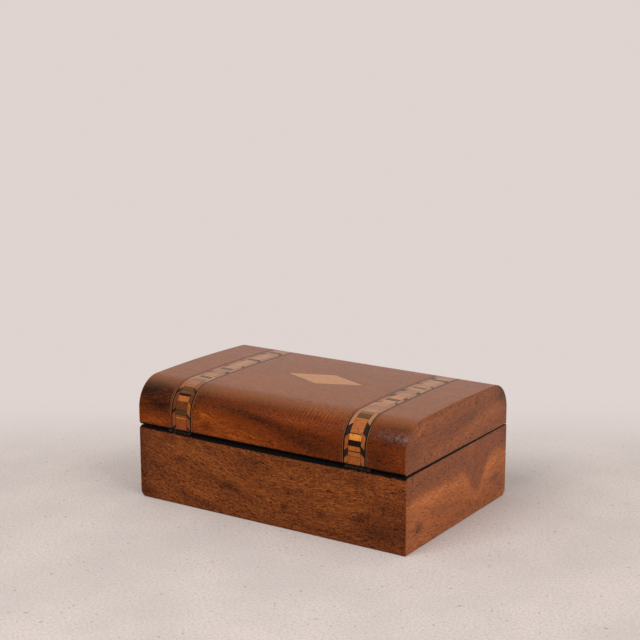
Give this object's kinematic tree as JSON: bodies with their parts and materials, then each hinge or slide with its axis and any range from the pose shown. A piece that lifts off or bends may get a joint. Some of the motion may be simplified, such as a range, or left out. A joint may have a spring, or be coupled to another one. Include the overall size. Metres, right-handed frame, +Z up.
{
  "type": "hinged wooden box",
  "caption": "Walnut-veneered hinged box with a round-shouldered lid, inlaid straps of small blocks, a lozenge on top, brass butt hinges and a recessed lock.",
  "frame": {"origin": "on the ground, under the middle of the box", "axes": "+Z up, +X along the box, -Y toward the hinge side and +Y toward the lock side"},
  "size_m": [0.28, 0.1856, 0.112],
  "materials": {
    "walnut": "satin",
    "carcass_wood": "matt",
    "pine": "matt",
    "satinwood": "satin",
    "ebony": "satin",
    "boxwood": "satin",
    "maple": "satin",
    "dark_wood_line": "satin",
    "brass": "aged",
    "steel": "aged",
    "lining_paper": "worn"
  },
  "bodies": {
    "base": {"base_front_board": "carcass_wood", "base_back_board": "carcass_wood", "base_left_board": "carcass_wood", "base_right_board": "carcass_wood", "base_bottom_board": "pine", "base_front_veneer": "walnut", "base_back_veneer": "walnut", "base_left_veneer": "walnut", "base_right_veneer": "walnut", "base_wall_lining": "lining_paper", "base_floor_lining": "lining_paper", "left_hinge_base_leaf": "brass", "right_hinge_base_leaf": "brass", "left_hinge_pin": "brass", "right_hinge_pin": "brass", "hinge_base_screws": "brass", "lock_case": "brass", "lock_selvedge": "brass", "lock_spring": "steel", "lock_key_pin": "steel", "lock_screws": "steel", "escutcheon": "brass"},
    "lid": {"lid_front_rail": "carcass_wood", "lid_back_rail": "carcass_wood", "lid_left_end": "carcass_wood", "lid_right_end": "carcass_wood", "lid_top_board": "pine", "lid_veneer_left": "walnut", "lid_veneer_centre": "walnut", "lid_veneer_right": "walnut", "lid_left_end_veneer": "walnut", "lid_right_end_veneer": "walnut", "left_strap_light_middle": "satinwood", "left_strap_dark_bars": "ebony", "left_strap_light_sides": "satinwood", "left_strap_dark_sides": "ebony", "left_strap_light_lines": "boxwood", "left_strap_dark_lines": "ebony", "right_strap_light_middle": "satinwood", "right_strap_dark_bars": "ebony", "right_strap_light_sides": "satinwood", "right_strap_dark_sides": "ebony", "right_strap_light_lines": "boxwood", "right_strap_dark_lines": "ebony", "lozenge": "maple", "lozenge_line": "dark_wood_line", "lid_wall_lining": "lining_paper", "lid_top_lining": "lining_paper", "left_hinge_lid_leaf": "brass", "right_hinge_lid_leaf": "brass", "hinge_lid_screws": "brass", "link_plate": "brass", "link_plate_screws": "steel"},
    "lock_bolt": {"lock_bolt": "brass"}
  },
  "joints": [
    {"name": "lid_hinge", "type": "hinge", "parent": "base", "child": "lid", "pos_m": [0, -0.0897, 0.06825], "axis": [1, 0, 0], "range_deg": [0, 95]},
    {"name": "bolt_slide", "type": "slide", "parent": "base", "child": "lock_bolt", "axis": [1, 0, 0], "range_m": [0, 0.0035]}
  ]
}
